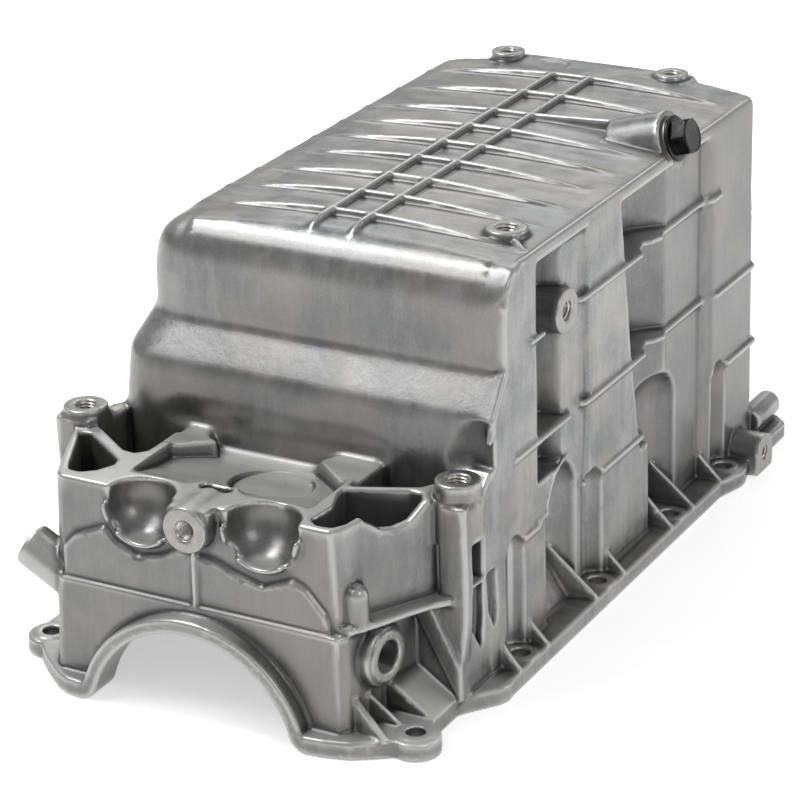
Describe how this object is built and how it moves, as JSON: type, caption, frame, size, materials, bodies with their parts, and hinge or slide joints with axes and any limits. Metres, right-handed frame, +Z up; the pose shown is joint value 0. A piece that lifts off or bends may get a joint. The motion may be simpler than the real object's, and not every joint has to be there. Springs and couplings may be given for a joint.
{
  "type": "engine oil pan",
  "caption": "Cast aluminium engine oil pan with a flanged rim, crank arch, ribbed deep sump, threaded bosses and a hex drain plug with sealing washer.",
  "frame": {"origin": "on the gasket face, under the middle of the whole object's box", "axes": "+Z up from the gasket face to the sump top, +Y from the crank arch at the front to the back of the sump, +X to the drain plug's side"},
  "size_m": [0.2436, 0.4244, 0.2135],
  "materials": {
    "cast_aluminium": "satin raw die casting",
    "black_steel": "black oxide, satin",
    "washer_metal": "dull"
  },
  "bodies": {
    "pan": {"oil_pan": "cast_aluminium"},
    "washer": {"drain_washer": "washer_metal"},
    "plug": {"drain_plug": "black_steel"}
  },
  "joints": [
    {"name": "plug_travel", "type": "slide", "parent": "pan", "child": "washer", "axis": [0.9588, 0, 0.284], "range_m": [0, 0.0165]},
    {"name": "plug_turn", "type": "hinge", "parent": "washer", "child": "plug", "pos_m": [0.096, 0.09125, 0.1995], "axis": [0.9588, 0, 0.284], "range_deg": [0, 3960]}
  ],
  "couplings": [
    {"joint": "plug_turn", "follows": "plug_travel", "rad_per_m": 4188.8}
  ]
}
